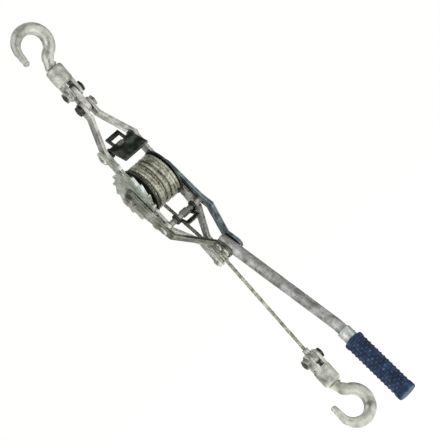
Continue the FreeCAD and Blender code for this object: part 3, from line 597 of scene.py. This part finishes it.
def make_grip(material):
    """The sleeve with a rounded foot, moulded diamond ribs and a lip at its top."""
    middle, up, length = axis_of("handle_grip")
    side = Vector((1, 0, 0))
    front = up.cross(side)
    vertices = []
    for k in range(GRIP_RINGS):
        s = length * k / (GRIP_RINGS - 1)
        for j in range(GRIP_AROUND):
            angle = 2 * math.pi * j / GRIP_AROUND
            out = side * math.cos(angle) + front * math.sin(angle)
            vertices.append(middle + up * (s - length / 2) + out * grip_radius(s, angle, length))
    grip = mesh_object("grip_sleeve", vertices, ring_faces(GRIP_RINGS, GRIP_AROUND), material)
    ride_as(grip, "handle", "blue_grip", "handle_grip")


# ---------------- stage ----------------
FLOOR_REACH = 30.0
FLOOR_BELOW = 0.09


def make_stage():
    """A wide pale floor under the hanging winch."""
    mesh = bpy.data.meshes.new("floor")
    z = CAD_BOX[0].z - FLOOR_BELOW
    corners = [(x, y, z) for x, y in ((-1, -1), (1, -1), (1, 1), (-1, 1))]
    corners = [(x * FLOOR_REACH, y * FLOOR_REACH, z) for x, y, z in corners]
    mesh.from_pydata(corners, [], [(0, 1, 2, 3)])
    floor = bpy.data.objects.new("floor", mesh)
    bpy.context.scene.collection.objects.link(floor)
    n = Nodes("floor_paper")
    colour = n.ramp(n.noise(3.0), [(0.3, rgb(244, 244, 241)), (0.7, rgb(249, 249, 247))])
    n.link(colour, n.shader.inputs["Emission Color"])
    n.shader.inputs["Emission Strength"].default_value = 0.75
    rough_map = n.grey(n.noise(8.0), 0.8, 0.95)
    mesh.materials.append(n.finish(colour, rough_map, n.bump(n.noise(FINE_GRAIN), 0.05), 0.0))


def make_world():
    """White to the camera. Reflections see a bright ceiling, dark walls and a paler floor."""
    world = bpy.data.worlds.new("studio")
    bpy.context.scene.world = world
    world.use_nodes = True
    tree = world.node_tree
    sky = tree.nodes["Background"]
    place = tree.nodes.new("ShaderNodeTexCoord")
    split = tree.nodes.new("ShaderNodeSeparateXYZ")
    tree.links.new(place.outputs["Generated"], split.inputs["Vector"])
    ramp = tree.nodes.new("ShaderNodeValToRGB")
    stops = [(0.0, 0.32), (0.4, 0.1), (0.55, 0.14), (1.0, 0.62)]
    while len(ramp.color_ramp.elements) < len(stops):
        ramp.color_ramp.elements.new(0.5)
    for element, (position, value) in zip(ramp.color_ramp.elements, stops):
        element.position = position
        element.color = (value, value, value * 0.98, 1)
    shift = tree.nodes.new("ShaderNodeMath")
    shift.operation = "MULTIPLY_ADD"
    shift.inputs[1].default_value = 0.5
    shift.inputs[2].default_value = 0.5
    tree.links.new(split.outputs["Z"], shift.inputs[0])
    tree.links.new(shift.outputs[0], ramp.inputs["Fac"])
    tree.links.new(ramp.outputs["Color"], sky.inputs["Color"])
    white = tree.nodes.new("ShaderNodeBackground")
    white.inputs["Color"].default_value = (1.0, 1.0, 0.985, 1)
    ray = tree.nodes.new("ShaderNodeLightPath")
    mix = tree.nodes.new("ShaderNodeMixShader")
    tree.links.new(ray.outputs["Is Camera Ray"], mix.inputs[0])
    tree.links.new(sky.outputs[0], mix.inputs[1])
    tree.links.new(white.outputs[0], mix.inputs[2])
    tree.links.new(mix.outputs[0], tree.nodes["World Output"].inputs["Surface"])


def make_light(name, azimuth, height, away, size, power):
    """A square soft light aimed at the winch's middle, at an azimuth measured as the camera's."""
    low, high = CAD_BOX
    middle = (low + high) / 2
    a = math.radians(azimuth)
    place = middle + Vector((math.sin(a) * away, -math.cos(a) * away, height))
    data = bpy.data.lights.new(name, "AREA")
    data.size = size
    data.energy = power
    light = bpy.data.objects.new(name, data)
    light.location = place
    light.rotation_mode = "QUATERNION"
    light.rotation_quaternion = (middle - place).to_track_quat("-Z", "Y")
    bpy.context.scene.collection.objects.link(light)


def make_lights():
    make_light("key_light", azimuth=-70, height=1.2, away=1.6, size=2.2, power=26)
    make_light("fill_light", azimuth=40, height=0.3, away=1.9, size=1.6, power=8)
    make_light("back_light", azimuth=160, height=1.0, away=1.7, size=1.4, power=7)


make_camera()
materials = make_materials()
make_cable(materials["wire_rope"])
make_winding(materials["wire_rope"])
paint_frame(materials)
make_spring("holding_spring_coil", "holding_pawl", materials["spring_wire"])
make_spring("drive_spring_coil", "drive_pawl", materials["spring_wire"])
make_grip(materials["blue_grip"])
make_stage()
make_world()
make_lights()
bpy.context.scene.view_settings.view_transform = "Standard"
